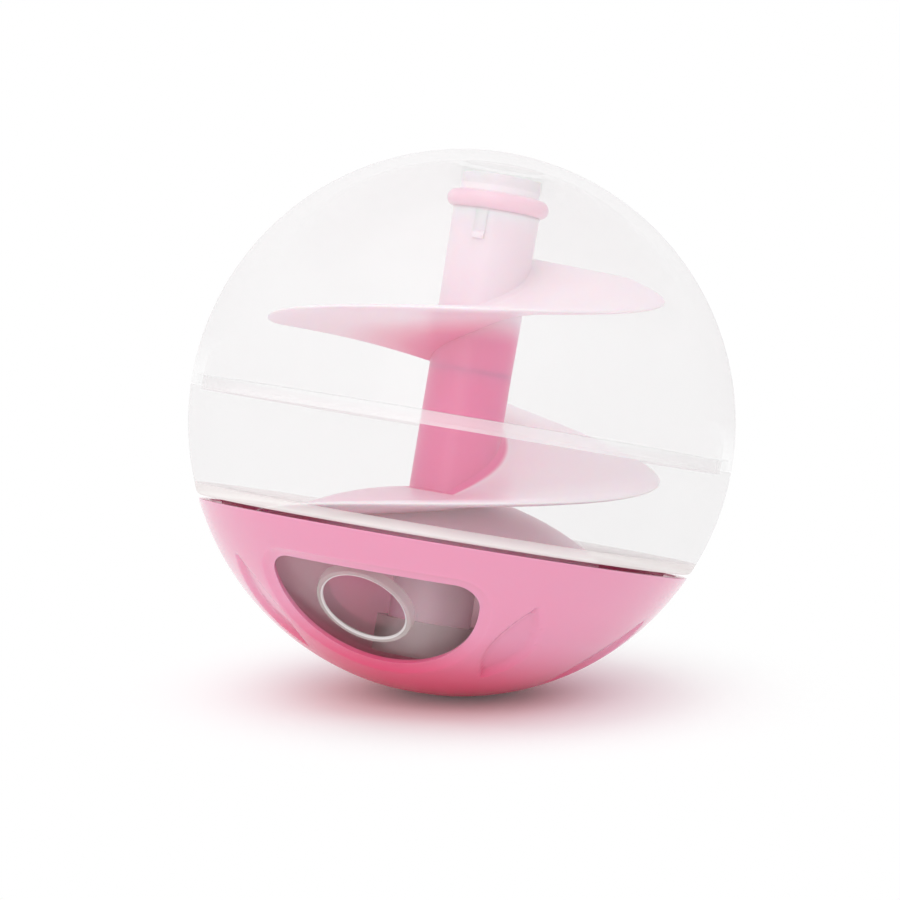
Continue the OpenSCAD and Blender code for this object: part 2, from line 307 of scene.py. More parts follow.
# Single walls pass light and look pale, and the lap of the two columns is deep from its double wall; the zones below
# also hold painted shade and painted light
TOWER_PINK = PinkPlastic("pink_abs_thin_walled_with_painted_shade", "FEF3F7", "F060A0", 0.32, 0.6, 2.5, 0.0, (
    # Zones: the lap of the columns, running on as painted shade up and down the column under the ramps; the ramps'
    # roots under the upper ramp, partly a thick wall and partly painted shade; a little pinker below the neck
    Zone(9.6, 8.4, 72, 64, 34, 24), Zone(30, 7, 72, 64, 58, 54), Zone(60, 50, 89.5, 85, share=0.1), Zone(9.6, 8.4, 89.5, 85, share=0.17),
    # Then a deeper band at the cap's collar, and painted light on the apron under the lower ramp: its deeper pink
    # stands for light passed through the pink ramp
    Zone(12, 11, 92.2, 91.6, 88.7, 88, share=0.38), Zone(42, 30, 40, 36, share=0.32)))
# The wall's outside carries a faint milky veil, which the inside takes over near the lap
CLEAR_SHELL = ClearPlastic("clear_polystyrene_moulded", "EBEBEB", 0.02, top_veil=0.14, slant_veil=0.07,
                           low_mm=51.5, high_mm=58)
CLEAR_SIDE = ClearPlastic("clear_polystyrene_lower_wall", "EBEBEB", 0.16, slant_veil=0.01)
CLEAR_SKIN = ClearPlastic("clear_polystyrene_inner_wall", "EBEBEB", 0.02, top_veil=0.21, slant_veil=-0.2,
                          gloss=0.004, low_mm=70, high_mm=97)
CLEAR_LAP = ClearPlastic("clear_polystyrene_above_lap", "EBEBEB", 0.16, top_veil=-0.14, slant_veil=-0.12,
                         gloss=0.004, low_mm=51.5, high_mm=58)
CLEAR_BARE = ClearPlastic("clear_polystyrene_lap", "EBEBEB", 0.01, gloss=0.004)
# Thick sections look milky from the side, and clear up towards the thin wall above
MILKY_LIP = ClearPlastic("clear_polystyrene_thick", "F8F4F2", 0.8, top_veil=-0.36, low_mm=29.6, high_mm=31.3)
MILKY_BAND = ClearPlastic("clear_polystyrene_double_wall", "FFFFFF", 0.5, slant_veil=-0.45)
MILKY_COLLAR = ClearPlastic("clear_polystyrene_collar", "F4ECE8", 0.33)
CLEAR_BOWL = ClearPlastic("clear_polystyrene_small_bowl", "E8D6D6", 0.14, slant_veil=0.06)
# The wall behind the gap at the base's rim carries a painted reflection of the pink inside of the base
PINK_REFLECTION_WALL = ClearPlastic("clear_polystyrene_painted_pink_reflection", "B23A62", 0.6)
# A moulded edge gathers light; its fine bright line is a painted highlight
EDGE_PAINTED_HIGHLIGHT = ClearPlastic("clear_polystyrene_edge_painted_highlight", "F0F0F0", 0.62, slant_veil=-0.6)
RIM_PAINTED_HIGHLIGHT = ClearPlastic("clear_polystyrene_outlet_rim_painted_highlight", "FFFFFF", 0.6)


class Clear(IntEnum):
    """Places of the clear finishes on a clear piece."""

    SHELL = 0
    SIDE = 1
    SKIN = 2
    LAP = 3
    BARE = 4
    LIP = 5
    BAND = 6
    BOWL = 7
    TINT = 8
    EDGE = 9
    COLLAR = 10
    RIM = 11


CLEAR_FINISHES = (CLEAR_SHELL, CLEAR_SIDE, CLEAR_SKIN, CLEAR_LAP, CLEAR_BARE, MILKY_LIP, MILKY_BAND, CLEAR_BOWL,
                  PINK_REFLECTION_WALL, EDGE_PAINTED_HIGHLIGHT, MILKY_COLLAR, RIM_PAINTED_HIGHLIGHT)


# Shapes in millimetres from the middle of the ball

@dataclass
class Shape:
    """Points and faces of a piece, in millimetres from the middle of the ball."""

    points: list[Vector] = field(default_factory=list)
    faces: list[tuple[int, ...]] = field(default_factory=list)

    def add(self, other: "Shape") -> int:
        """Takes in another shape.

        Args:
            other: The shape to take in.

        Returns:
            The number of its first point here.
        """
        first = len(self.points)
        self.points.extend(other.points)
        self.faces.extend(tuple(i + first for i in f) for f in other.faces)
        return first

    def bridge(self, one: Sequence[int], two: Sequence[int]) -> None:
        """Joins two closed loops of as many points with four-sided faces."""
        count = len(one)
        for i in range(count):
            j = (i + 1) % count
            self.faces.append((one[i], one[j], two[j], two[i]))


def arc(centre: Point, radius: float, start: float, end: float, count: int) -> list[Point]:
    """Points of an arc.

    Args:
        centre: The arc's centre.
        radius: Its radius.
        start: Its first angle in degrees.
        end: Its last angle in degrees.
        count: How many steps it takes.

    Returns:
        One point more than there are steps.
    """
    angles = [math.radians(start + (end - start) * i / count) for i in range(count + 1)]
    return [(centre[0] + radius * math.cos(a), centre[1] + radius * math.sin(a)) for a in angles]


def meridian(radius: float, low: float, high: float, count: int) -> list[Point]:
    """Points up a ball's side.

    Args:
        radius: The ball's radius.
        low: Height of the first point.
        high: Height of the last point.
        count: How many steps it takes.

    Returns:
        Radius and height of each point.
    """
    start, end = (math.degrees(math.asin(max(-1.0, min(1.0, z / radius)))) for z in (low, high))
    return arc((0.0, 0.0), radius, start, end, count)


def soften(outline: Sequence[Point], corner: float, closed: bool = True) -> list[Point]:
    """Rounds the sharp corners of an outline.

    Args:
        outline: The outline's points.
        corner: Radius of the rounding, less where an edge is short.
        closed: Whether the last point leads back to the first.

    Returns:
        The outline with three points in place of each sharp corner.
    """
    made: list[Point] = []
    count = len(outline)
    for i, here in enumerate(outline):
        ends = not closed and i in (0, count - 1)
        before, after = Vector(outline[i - 1]), Vector(outline[(i + 1) % count])
        at = Vector(here)
        back, on = before - at, after - at
        if ends or back.length < 1e-6 or on.length < 1e-6 or back.angle(on) > math.radians(150):
            made.append(here)
            continue
        reach = min(corner, back.length * 0.45, on.length * 0.45)
        one, two = at + back.normalized() * reach, at + on.normalized() * reach
        made.extend((tuple(one), tuple(at * 0.5 + (one + two) * 0.25), tuple(two)))
    return made


def revolve(outline: Sequence[Point], closed: bool = True, steps: int = STEPS) -> Shape:
    """Turns an outline round the ball's axis.

    Args:
        outline: Radius and height of each point.
        closed: Whether the last point leads back to the first.
        steps: Steps in a full turn.

    Returns:
        The turned shape, with one point where the outline meets the axis.
    """
    made = Shape()
    rings: list[list[int]] = []
    for r, z in outline:
        first = len(made.points)
        if r < 1e-4:
            made.points.append(Vector((0, 0, z)))
            rings.append([first] * steps)
            continue
        for i in range(steps):
            a = math.tau * i / steps
            made.points.append(Vector((r * math.sin(a), -r * math.cos(a), z)))
        rings.append(list(range(first, first + steps)))
    for i in range(len(rings) if closed else len(rings) - 1):
        one, two = rings[i], rings[(i + 1) % len(rings)]
        for j in range(steps):
            k = (j + 1) % steps
            corners = list(dict.fromkeys((one[j], one[k], two[k], two[j])))
            if len(corners) > 2:
                made.faces.append(tuple(corners))
    return made


@dataclass(frozen=True)
class Opening:
    """A hole through a ball's side, drawn on a plane that faces outwards."""

    azimuth: float
    angle: float

    def turn(self) -> Matrix:
        """Turn from the plane, whose third axis points outwards, to the ball."""
        return Matrix.Rotation(math.radians(self.azimuth), 3, "Z") @ Matrix.Rotation(
            math.radians(90 + self.angle), 3, "X")

    def on_ball(self, outline: Sequence[Point], radius: float) -> list[Vector]:
        """Lays an outline on a ball along the hole's direction.

        Args:
            outline: Points on the plane.
            radius: The ball's radius.

        Returns:
            The points on the ball.
        """
        turn = self.turn()
        return [turn @ Vector((x, y, math.sqrt(radius ** 2 - x ** 2 - y ** 2))) for x, y in outline]

    def at_height(self, outline: Sequence[Point], height: float) -> list[Vector]:
        """Lays an outline on a flat plane at a distance from the ball's middle."""
        turn = self.turn()
        return [turn @ Vector((x, y, height)) for x, y in outline]


def chart(p: Vector) -> Vector:
    """Flattens a point of the ball's lower half to its angle from the lowest point and its azimuth."""
    angle = math.degrees(math.atan2(math.hypot(p.x, p.y), -p.z))
    return Vector((p.x, p.y)).normalized() * angle if math.hypot(p.x, p.y) > 1e-9 else Vector((0.0, 0.0))


def pierced_sheet(rings: Sequence[Point], loop: Sequence[Vector], margin: float,
                  steps: int = STEPS) -> tuple[Shape, list[int], list[int]]:
    """Closes the bottom of a ball with one sheet that leaves a hole.

    Args:
        rings: Radius and height of each ring, from the upper edge down to the axis.
        loop: The hole's edge on the ball.
        margin: Degrees by which the rings' points keep clear of the hole.
        steps: Points in a ring.

    Returns:
        The sheet, the numbers of its upper edge's points and those of the hole's edge.
    """
    flat = [chart(p) for p in loop]
    middle = sum(flat, Vector((0.0, 0.0))) / len(flat)
    grown = [middle + (p - middle) * (1 + margin / (p - middle).length) for p in flat]
    points: list[Vector] = []
    places: list[Vector] = []
    top = chart(Vector((rings[0][0], 0.0, rings[0][1]))).length
    last = top
    for k, (r, z) in enumerate(rings):
        angle = chart(Vector((r, 0.0, z))).length
        angle = min(angle, last - 0.02) if k else angle
        last = angle
        if r < 1e-4:
            points.append(Vector((0, 0, z)))
            places.append(Vector((0.0, 0.0)))
            continue
        for i in range(steps):
            a = math.tau * i / steps
            place = Vector((math.sin(a), -math.cos(a))) * angle
            if k and inside(place, grown):
                continue
            points.append(Vector((r * math.sin(a), -r * math.cos(a), z)))
            places.append(place)
    edge = list(range(len(points), len(points) + len(flat)))
    points.extend(loop)
    places.extend(flat)
    rim = list(range(steps))
    lines = [(i, (i + 1) % steps) for i in rim]
    lines += [(edge[i], edge[(i + 1) % len(edge)]) for i in range(len(edge))]
    _, _, faces, origins, _, _ = delaunay_2d_cdt(places, lines, [], 1, 1e-7)
    whole = [origin[0] for origin in origins]
    hole = set(edge)
    made = Shape(points)
    for f in faces:
        corners = tuple(whole[i] for i in f)
        if not all(c in hole for c in corners):
            made.faces.append(corners)
    return made, rim, edge


def inside(place: Vector, outline: Sequence[Vector]) -> bool:
    """Whether a place on the chart lies within an outline."""
    odd = False
    for i, b in enumerate(outline):
        a = outline[i - 1]
        if (a.y > place.y) != (b.y > place.y):
            if place.x < a.x + (place.y - a.y) / (b.y - a.y) * (b.x - a.x):
                odd = not odd
    return odd


# Pieces

@dataclass(frozen=True)
class Ball:
    """The ball that all the pieces are laid out in."""

    radius: float
    middle: float

    @classmethod
    def from_frame(cls) -> "Ball":
        """Reads the ball's size from the dome."""
        low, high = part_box("upper_dome")
        radius = round((high.x - low.x) / 2 / MM, 1)
        return cls(radius, high.z / MM - radius)

    def piece(self, name: str, shape: Shape, sharp: float = 35.0) -> bpy.types.Object:
        """Makes a shape an object, closed and facing outwards.

        Args:
            name: The object's name.
            shape: The shape in millimetres.
            sharp: Degrees past which an edge stays sharp.

        Returns:
            The object, at the origin.
        """
        mesh = bpy.data.meshes.new(name)
        lift = Vector((0, 0, self.middle))
        mesh.from_pydata([(p + lift) * MM for p in shape.points], [], shape.faces)
        work = bmesh.new()
        work.from_mesh(mesh)
        bmesh.ops.remove_doubles(work, verts=work.verts, dist=0.004 * MM)
        bmesh.ops.recalc_face_normals(work, faces=work.faces)
        work.to_mesh(mesh)
        work.free()
        mesh.shade_smooth()
        mesh.set_sharp_from_angle(angle=math.radians(sharp))
        made = bpy.data.objects.new(name, mesh)
        bpy.context.scene.collection.objects.link(made)
        return made

    def paint_clear(self, made: bpy.types.Object, finish: Callable[[Vector], Clear]) -> None:
        """Gives each face of a clear piece the finish of its place.

        Args:
            made: The piece.
            finish: Tells the finish at a point in millimetres from the ball's middle.
        """
        for clear in CLEAR_FINISHES:
            made.data.materials.append(clear.material())
        lift = Vector((0, 0, self.middle))
        for face in made.data.polygons:
            face.material_index = finish(face.center / MM - lift)


def bake_tree(made: bpy.types.Object, tree: bpy.types.NodeTree, sizes: dict[str, float],
              sharp: float = 35.0) -> None:
    """Runs a node tree on an object and keeps its result as a plain mesh.

    Args:
        made: The object that the tree works on.
        tree: The tree.
        sizes: A value for each of the tree's named inputs.
        sharp: Degrees past which an edge stays sharp.
    """
    modifier = made.modifiers.new(tree.name, "NODES")
    modifier.node_group = tree
    for item in tree.interface.items_tree:
        if item.item_type == "SOCKET" and item.in_out == "INPUT" and item.name in sizes:
            modifier[item.identifier] = sizes[item.name]
    view = bpy.context.evaluated_depsgraph_get()
    plain = bpy.data.meshes.new_from_object(made.evaluated_get(view), depsgraph=view)
    made.modifiers.remove(modifier)
    old, made.data = made.data, plain
    bpy.data.meshes.remove(old)
    plain.name = made.name
    plain.shade_smooth()
    plain.set_sharp_from_angle(angle=math.radians(sharp))


def new_tree(name: str, sizes: Sequence[str]) -> tuple[bpy.types.NodeTree, dict[str, bpy.types.NodeSocket]]:
    """Starts a geometry tree with named sizes.

    Args:
        name: The tree's name.
        sizes: The names of its number inputs.

    Returns:
        The tree and the sockets of its inputs by name.
    """
    tree = bpy.data.node_groups.new(name, "GeometryNodeTree")
    tree.interface.new_socket("Geometry", in_out="OUTPUT", socket_type="NodeSocketGeometry")
    tree.interface.new_socket("Geometry", in_out="INPUT", socket_type="NodeSocketGeometry")
    tree.interface.new_socket("Material", in_out="INPUT", socket_type="NodeSocketMaterial")
    for size in sizes:
        tree.interface.new_socket(size, in_out="INPUT", socket_type="NodeSocketFloat")
    entry = add_node(tree, "NodeGroupInput")
    return tree, {s.name: s for s in entry.outputs if s.name}


def end_tree(tree: bpy.types.NodeTree, geometry: bpy.types.NodeSocket, material: bpy.types.NodeSocket) -> None:
    """Ends a geometry tree: its result is made real and takes the material."""
    real = add_node(tree, "GeometryNodeRealizeInstances", {0: geometry})
    dressed = add_node(tree, "GeometryNodeSetMaterial", {"Geometry": real.outputs[0], "Material": material})
    add_node(tree, "NodeGroupOutput", {0: dressed.outputs[0]})


@dataclass
class ClearDome:
    """Clear upper half with a skirt that laps over the bowl and a ring that steadies the tower."""

    ball: Ball
    wall: float = 2.0
    lap_height: float = 1.7
    lap_gap: float = 0.3
    ring_radius: float = 7.6
    ring_low: float = 43.4
    edge_round: float = 0.25

    def build(self) -> bpy.types.Object:
        """Turns the dome's section."""
        out_r, in_r = self.ball.radius, self.ball.radius - self.wall
        skirt_r = out_r - self.wall / 2 + self.lap_gap / 2
        skirt_low, step = -self.lap_height / 2, self.lap_height / 2 + self.lap_gap
        ring_out = self.ring_radius + self.wall
        ring_tops = [math.sqrt(in_r ** 2 - r ** 2) for r in (ring_out, self.ring_radius)]
        outer = meridian(out_r, skirt_low, out_r, 72)[::-1]
        inner = meridian(in_r, step, ring_tops[0], 56)
        ring = [(ring_out, self.ring_low), (self.ring_radius, self.ring_low)]
        crown = meridian(in_r, ring_tops[1], in_r, 8)
        section = [*outer, (skirt_r, skirt_low), (skirt_r, self.lap_height / 2), (skirt_r, step), *inner, *ring, *crown]
        return self.ball.piece("clear_dome", revolve(soften(section, self.edge_round, closed=False), closed=False))

    def finish(self, at: Vector) -> Clear:
        """Finish at a point: the outside, the bare lap and ring, or the inside."""
        if at.length > self.ball.radius - 0.3:
            return Clear.SHELL
        lap = at.z < self.lap_height / 2
        ring = self.ring_radius - 0.1 < math.hypot(at.x, at.y) < self.ring_radius + self.wall + 0.1
        if lap or ring and at.z > self.ring_low - 0.1:
            return Clear.BARE
        return Clear.SKIN if at.z + self.ball.middle > CLEAR_LAP.high_mm else Clear.LAP

    def dress(self, made: bpy.types.Object) -> None:
        """Gives the dome its finishes and its place among the bodies."""
        self.ball.paint_clear(made, self.finish)
        stand_for(made, "upper_dome", Body.DOME, Slot.CLEAR)


def stand_for(made: bpy.types.Object, node: str, body: Body, slot: Slot) -> None:
    """Lets a finished piece take a node's place.

    Args:
        made: The piece.
        node: The node that it stands for.
        body: The body that it rides on.
        slot: The record's finish that it takes; not used.
    """
    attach(made, body.value)
    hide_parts(node)
    log.info("%s: %d faces, for %s on %s", made.name, len(made.data.polygons), node, body.value)


@dataclass
class ClearBowl:
    """Clear lower half: side, thick lip, small bowl with the outlet's collar, and the tower's socket."""

    ball: Ball
    wall: float = 2.0
    lap_height: float = 1.7
    lap_gap: float = 0.3
    shoulder_gap: float = 0.1
    band_depth: float = 0.7
    lip_low: float = -20.6
    lip_height: float = 2.2
    lip_round: float = 1.0
    bowl_radius: float = 46.2
    bowl_wall: float = 1.8
    rib_radius: float = 47.9
    rib_low: float = -24.4
    rib_height: float = 1.0
    cap_angle: float = 57.4
    outlet: Opening = Opening(-4.0, 48.0)
    outlet_radius: float = 7.8
    collar_wall: float = 1.2
    collar_reach: float = 47.05
    collar_round: float = 0.35
    socket_radius: float = 7.75
    socket_height: float = 6.0
    pad_top: float = -42.85
    edge_round: float = 0.25

    @property
    def side_top(self) -> float:
        """Height of the shoulder that the dome's skirt stands on."""
        return -self.lap_height / 2 - self.shoulder_gap

    @property
    def band_low(self) -> float:
        """Height on the inner wall from which the double wall looks milky."""
        return self.side_top - self.band_depth

    def ring(self) -> Shape:
        """Side, lip, ledge and snap rib, open towards the small bowl."""
        out_r, in_r = self.ball.radius, self.ball.radius - self.wall
        bowl_in = self.bowl_radius - self.bowl_wall
        side_top = self.side_top
        tongue_r, tongue_top = out_r - self.wall / 2 - self.lap_gap / 2, self.lap_height / 2
        ledge = self.lip_low + self.lip_height
        cap = -math.cos(math.radians(self.cap_angle))
        rib_top = self.rib_low + self.rib_height
        lip_in = math.sqrt(self.bowl_radius ** 2 - self.lip_low ** 2)
        rounding = (math.sqrt((out_r - self.lip_round) ** 2 - (self.lip_low + self.lip_round) ** 2),
                    self.lip_low + self.lip_round)
        side = math.degrees(math.atan2(rounding[1], rounding[0]))
        inner_low = tongue_top - 4.0
        section = [
            *meridian(self.bowl_radius, cap * self.bowl_radius, self.rib_low, 2),
            *meridian(self.rib_radius, self.rib_low, rib_top, 2),
            *meridian(self.bowl_radius, rib_top, self.lip_low - 0.3, 5),
            (lip_in + 0.3, self.lip_low),
            *arc(rounding, self.lip_round, -90, side, 8),
            *meridian(out_r, out_r * math.sin(math.radians(side)) + 0.2, side_top, 28),
            (tongue_r, side_top),
            (tongue_r, tongue_top),
            (in_r, tongue_top),
            (in_r, self.band_low),
            (in_r, inner_low),
            *meridian(in_r, inner_low - 0.4, ledge, 22),
            *meridian(bowl_in, ledge, cap * bowl_in, 8),
        ]
        return revolve(soften(section, self.edge_round, closed=False), closed=False)

    def build(self) -> bpy.types.Object:
        """Joins the ring, the small bowl's two sheets and the outlet's collar."""
        made = self.ring()
        bowl_in = self.bowl_radius - self.bowl_wall
        cap = math.cos(math.radians(self.cap_angle))
        count = 96
        collar_r = self.outlet_radius + self.collar_wall
        round_r, edge = 2 * self.collar_round, self.collar_round

        def circle(radius: float) -> list[Point]:
            return arc((0.0, 0.0), radius, 0, 360 - 360 / count, count - 1)

        outer_rings = meridian(self.bowl_radius, -cap * self.bowl_radius, -self.bowl_radius, 44)
        socket_out = self.socket_radius + self.bowl_wall
        inner_low = -math.sqrt(bowl_in ** 2 - socket_out ** 2)
        socket_top = self.pad_top + self.socket_height
        inner_rings = meridian(bowl_in, -cap * bowl_in, inner_low, 36) + [
            (socket_out, socket_top), (self.socket_radius, socket_top),
            (self.socket_radius, self.pad_top), (0.0, self.pad_top)]
        outer, _, outer_edge = pierced_sheet(
            outer_rings, self.outlet.on_ball(circle(collar_r + round_r), self.bowl_radius), 1.2)
        inner, _, inner_edge = pierced_sheet(
            inner_rings, self.outlet.on_ball(circle(self.outlet_radius + edge), bowl_in), 1.2)
        first_outer, first_inner = made.add(outer), made.add(inner)
        foot = math.sqrt(self.bowl_radius ** 2 - collar_r ** 2)
        bore_low = math.sqrt(bowl_in ** 2 - self.outlet_radius ** 2)
        tube = [
            (collar_r + 0.3 * round_r, foot + 0.3 * round_r - 0.1), (collar_r, foot + round_r),
            (collar_r, self.collar_reach - edge), (collar_r - 0.3 * edge, self.collar_reach - 0.3 * edge),
            (collar_r - edge, self.collar_reach), (self.outlet_radius + edge, self.collar_reach),
            (self.outlet_radius + 0.3 * edge, self.collar_reach - 0.3 * edge),
            (self.outlet_radius, self.collar_reach - edge), (self.outlet_radius, bore_low + edge),
        ]
        last = [i + first_outer for i in outer_edge]
        for radius, height in tube:
            first = made.add(Shape(self.outlet.at_height(circle(radius), height)))
            loop = list(range(first, first + count))
            made.bridge(last, loop)
            last = loop
        made.bridge(last, [i + first_inner for i in inner_edge])
        return self.ball.piece("clear_bowl", made)

    def finish(self, at: Vector) -> Clear:
        """Finish at a point: side, seam edge, milky lip and collar, small bowl or inner wall."""
        ledge = self.lip_low + self.lip_height
        plane = self.outlet.turn().inverted() @ at
        across = math.hypot(plane.x, plane.y)
        collar = plane.z > 0 and at.length > self.bowl_radius - self.bowl_wall + self.collar_round
        if collar and across < self.outlet_radius + self.collar_wall + self.collar_round:
            if across > self.outlet_radius + self.collar_round:
                return Clear.COLLAR
            # The outlet's top edge gets a painted highlight
            return Clear.RIM if plane.z > self.collar_reach - self.collar_round else Clear.BARE
        if at.z < self.lip_low - 0.2:
            if at.length < self.bowl_radius - 0.3:
                socket = math.hypot(at.x, at.y) < self.socket_radius + self.bowl_wall + 0.1
                return Clear.COLLAR if socket else Clear.SKIN
            # The small bowl's wall behind the gap at the base's rim gets a painted pink reflection
            return Clear.TINT if at.z > self.rib_low - self.rib_height else Clear.BOWL
        if at.z < ledge and at.length > self.ball.radius - 2 * self.wall:
            return Clear.LIP
        inner = math.hypot(at.x, at.y) < self.ball.radius - self.wall + self.edge_round
        if at.z < (self.band_low if inner else self.side_top):
            return Clear.SIDE if at.length > self.ball.radius - 0.3 else Clear.SKIN
        if not inner:
            return Clear.BARE
        # The tongue's top edge gets a painted highlight
        return Clear.EDGE if at.z > self.lap_height / 2 - self.edge_round else Clear.BAND

    def dress(self, made: bpy.types.Object) -> None:
        """Gives the bowl its finishes and its place among the bodies."""
        self.ball.paint_clear(made, self.finish)
        stand_for(made, "lower_bowl", Body.BOWL, Slot.CLEAR)


@dataclass
class PinkBase:
    """Pink base that turns under the bowl: rim, snap bead, half-moon window with a dished border, leaf dents."""

    ball: Ball
    wall: float = 1.8
    rim: float = -21.3
    rim_round: float = 0.4
    bead_radius: float = 46.5
    bead_top: float = -21.8
    bead_height: float = 1.0
    cap_angle: float = 60.4
    window: Opening = Opening(0.0, 48.0)
    window_rise: float = 11.0
    window_fall: float = 13.6
    window_top_r: float = 54.0
    window_low_r: float = 19.4
    window_corner_r: float = 5.4
    border_width: float = 2.4
    border_depth: float = 0.9
    edge_round: float = 0.3
    leaf_places: int = 8
    leaf_length: float = 23.0
    leaf_width: float = 8.6
    leaf_depth: float = 0.9
    leaf_angle: float = 49.4

    def outline(self, grow: float = 0.0) -> list[Point]:
        """Outline of the window.

        Args:
            grow: Distance by which it is wider all round.

        Returns:
            Points of two wide arcs and the two small corners that join them.
        """
        top_r, low_r = self.window_top_r + grow, self.window_low_r + grow
        r = self.window_corner_r + grow
        top_c, low_c = self.window_rise - self.window_top_r, self.window_low_r - self.window_fall
        y = ((low_r - r) ** 2 - (top_r - r) ** 2 + top_c ** 2 - low_c ** 2) / (2 * (top_c - low_c))
        x = math.sqrt((low_r - r) ** 2 - (y - low_c) ** 2)
        at_top, at_low = (math.degrees(math.atan2(y - c, x)) for c in (top_c, low_c))
        return [
            *arc((0.0, top_c), top_r, at_top, 180 - at_top, 44)[:-1],
            *arc((-x, y), r, 180 - at_top, 180 - at_low, 24)[:-1],
            *arc((0.0, low_c), low_r, 180 - at_low, 360 + at_low, 72)[:-1],
            *arc((x, y), r, at_low, at_top, 24)[:-1],
        ]

    def ring(self) -> Shape:
        """Rim and snap bead, open towards the base's bottom."""
        out_r, in_r = self.ball.radius, self.ball.radius - self.wall
        cap = -math.cos(math.radians(self.cap_angle))
        bead_low = self.bead_top - self.bead_height
        section = [
            *meridian(out_r, cap * out_r, self.rim, 8),
            *meridian(in_r, self.rim, self.bead_top + 0.2, 1),
            *meridian(self.bead_radius, self.bead_top, bead_low, 2),
            *meridian(in_r, bead_low, cap * in_r, 2),
        ]
        return revolve(soften(section, self.rim_round, closed=False), closed=False, steps=self.steps())

    @staticmethod
    def steps() -> int:
        """Steps round the base, fine enough for the leaf dents."""
        return 320

    def build(self) -> bpy.types.Object:
        """Joins the ring, the two pierced sheets and the window's dished border, then presses the leaves in."""
        made = self.ring()
        out_r, in_r = self.ball.radius, self.ball.radius - self.wall
        cap = math.cos(math.radians(self.cap_angle))
        foot_r = math.sqrt(out_r ** 2 - self.ball.middle ** 2)
        flat = -self.ball.middle
        outer_rings = meridian(out_r, -cap * out_r, flat, 76) + [(foot_r / 2, flat), (0.0, flat)]
        inner_rings = meridian(in_r, -cap * in_r, -in_r, 36)
        dish = [(1.0, 0.0), (0.93, 0.04), (0.85, 0.13), (0.72, 0.31), (0.5, 0.58), (0.3, 0.78), (0.12, 0.94)]
        outer, _, outer_edge = pierced_sheet(
            outer_rings, self.window.on_ball(self.outline(self.border_width), out_r), 0.8, self.steps())
        inner, _, inner_edge = pierced_sheet(
            inner_rings, self.window.on_ball(self.outline(self.edge_round / 2), in_r), 0.8, self.steps())
        first_outer, first_inner = made.add(outer), made.add(inner)
        last = [i + first_outer for i in outer_edge]
        count = len(last)
        strips = [(self.border_width * share, out_r - self.border_depth * deep) for share, deep in dish[1:]]
        strips += [(0.0, out_r - self.border_depth), (0.0, in_r + self.edge_round)]
        for grow, radius in strips:
            first = made.add(Shape(self.window.on_ball(self.outline(grow), radius)))
            loop = list(range(first, first + count))
            made.bridge(last, loop)
            last = loop
        made.bridge(last, [i + first_inner for i in inner_edge])
        return self.ball.piece("pink_base", made)

    def leaf_tree(self) -> bpy.types.NodeTree:
        """Builds the tree that presses a ring of leaf dents into the ball's outside, bar the window's place.

        Returns:
            The tree, with the leaves' sizes in metres as inputs.
        """
        tree, inputs = new_tree("leaf dents", ("Ball radius", "Middle height", "Places", "Leaf angle",
                                               "Leaf length", "Leaf width", "Leaf depth"))
        place = add_node(tree, "GeometryNodeInputPosition").outputs[0]
        split = add_node(tree, "ShaderNodeSeparateXYZ", {0: place}).outputs
        values = {**inputs, "x": split[0], "y": split[1], "z": split[2]}
        work_out(tree, values, [
            ("front", "MULTIPLY", "y", -1.0),
            ("azimuth", "ARCTAN2", "x", "front"),
            ("share", "DIVIDE", math.tau, "Places"),
            ("turns", "DIVIDE", "azimuth", "share"),
            ("nearest", "ROUND", "turns", 0.0),
            ("beside", "SUBTRACT", "turns", "nearest"),
            ("aside", "MULTIPLY", "beside", "share"),
            ("place", "ABSOLUTE", "nearest", 0.0),
            ("taken", "GREATER_THAN", "place", 0.5),
            ("xx", "MULTIPLY", "x", "x"),
            ("yy", "MULTIPLY", "y", "y"),
            ("rr", "ADD", "xx", "yy"),
            ("r", "SQRT", "rr", 0.0),
            ("drop", "SUBTRACT", "Middle height", "z"),
            ("below", "ARCTAN2", "drop", "r"),
            ("off", "SUBTRACT", "below", "Leaf angle"),
            ("along", "MULTIPLY", "off", "Ball radius"),
            ("across", "MULTIPLY", "aside", "r"),
            ("half length", "MULTIPLY", "Leaf length", 0.5),
            ("half width", "MULTIPLY", "Leaf width", 0.5),
            ("u", "DIVIDE", "along", "half length"),
            ("v", "DIVIDE", "across", "half width"),
            ("uu", "MULTIPLY", "u", "u"),
            ("vv", "ABSOLUTE", "v", 0.0),
            ("lens", "SUBTRACT", 1.0, "uu"),
            ("within", "SUBTRACT", "lens", "vv"),
            ("zz", "MULTIPLY", "drop", "drop"),
            ("far square", "ADD", "rr", "zz"),
            ("far", "SQRT", "far square", 0.0),
            ("skin", "MULTIPLY", "Ball radius", 0.9996),
            ("outside", "GREATER_THAN", "far", "skin"),
        ])
        press = add_node(tree, "ShaderNodeMapRange", {"Value": values["within"], "From Min": 0.0, "From Max": 0.32},
                         interpolation_type="SMOOTHSTEP")
        values["press"] = press.outputs["Result"]
        work_out(tree, values, [
            ("free", "MULTIPLY", "taken", "outside"),
            ("pressed", "MULTIPLY", "press", "free"),
            ("depth", "MULTIPLY", "pressed", "Leaf depth"),
            ("inwards", "DIVIDE", "depth", "far"),
            ("scale", "MULTIPLY", "inwards", -1.0),
            ("dx", "MULTIPLY", "x", "scale"),
            ("dy", "MULTIPLY", "y", "scale"),
            ("dz", "MULTIPLY", "drop", "inwards"),
        ])
        move = add_node(tree, "ShaderNodeCombineXYZ", {0: values["dx"], 1: values["dy"], 2: values["dz"]})
        moved = add_node(tree, "GeometryNodeSetPosition", {"Geometry": inputs["Geometry"], "Offset": move.outputs[0]})
        kept = add_node(tree, "GeometryNodeStoreNamedAttribute",
                        {"Geometry": moved.outputs[0], "Name": DENT, "Value": values["pressed"]}, domain="POINT")
        end_tree(tree, kept.outputs[0], inputs["Material"])
        return tree

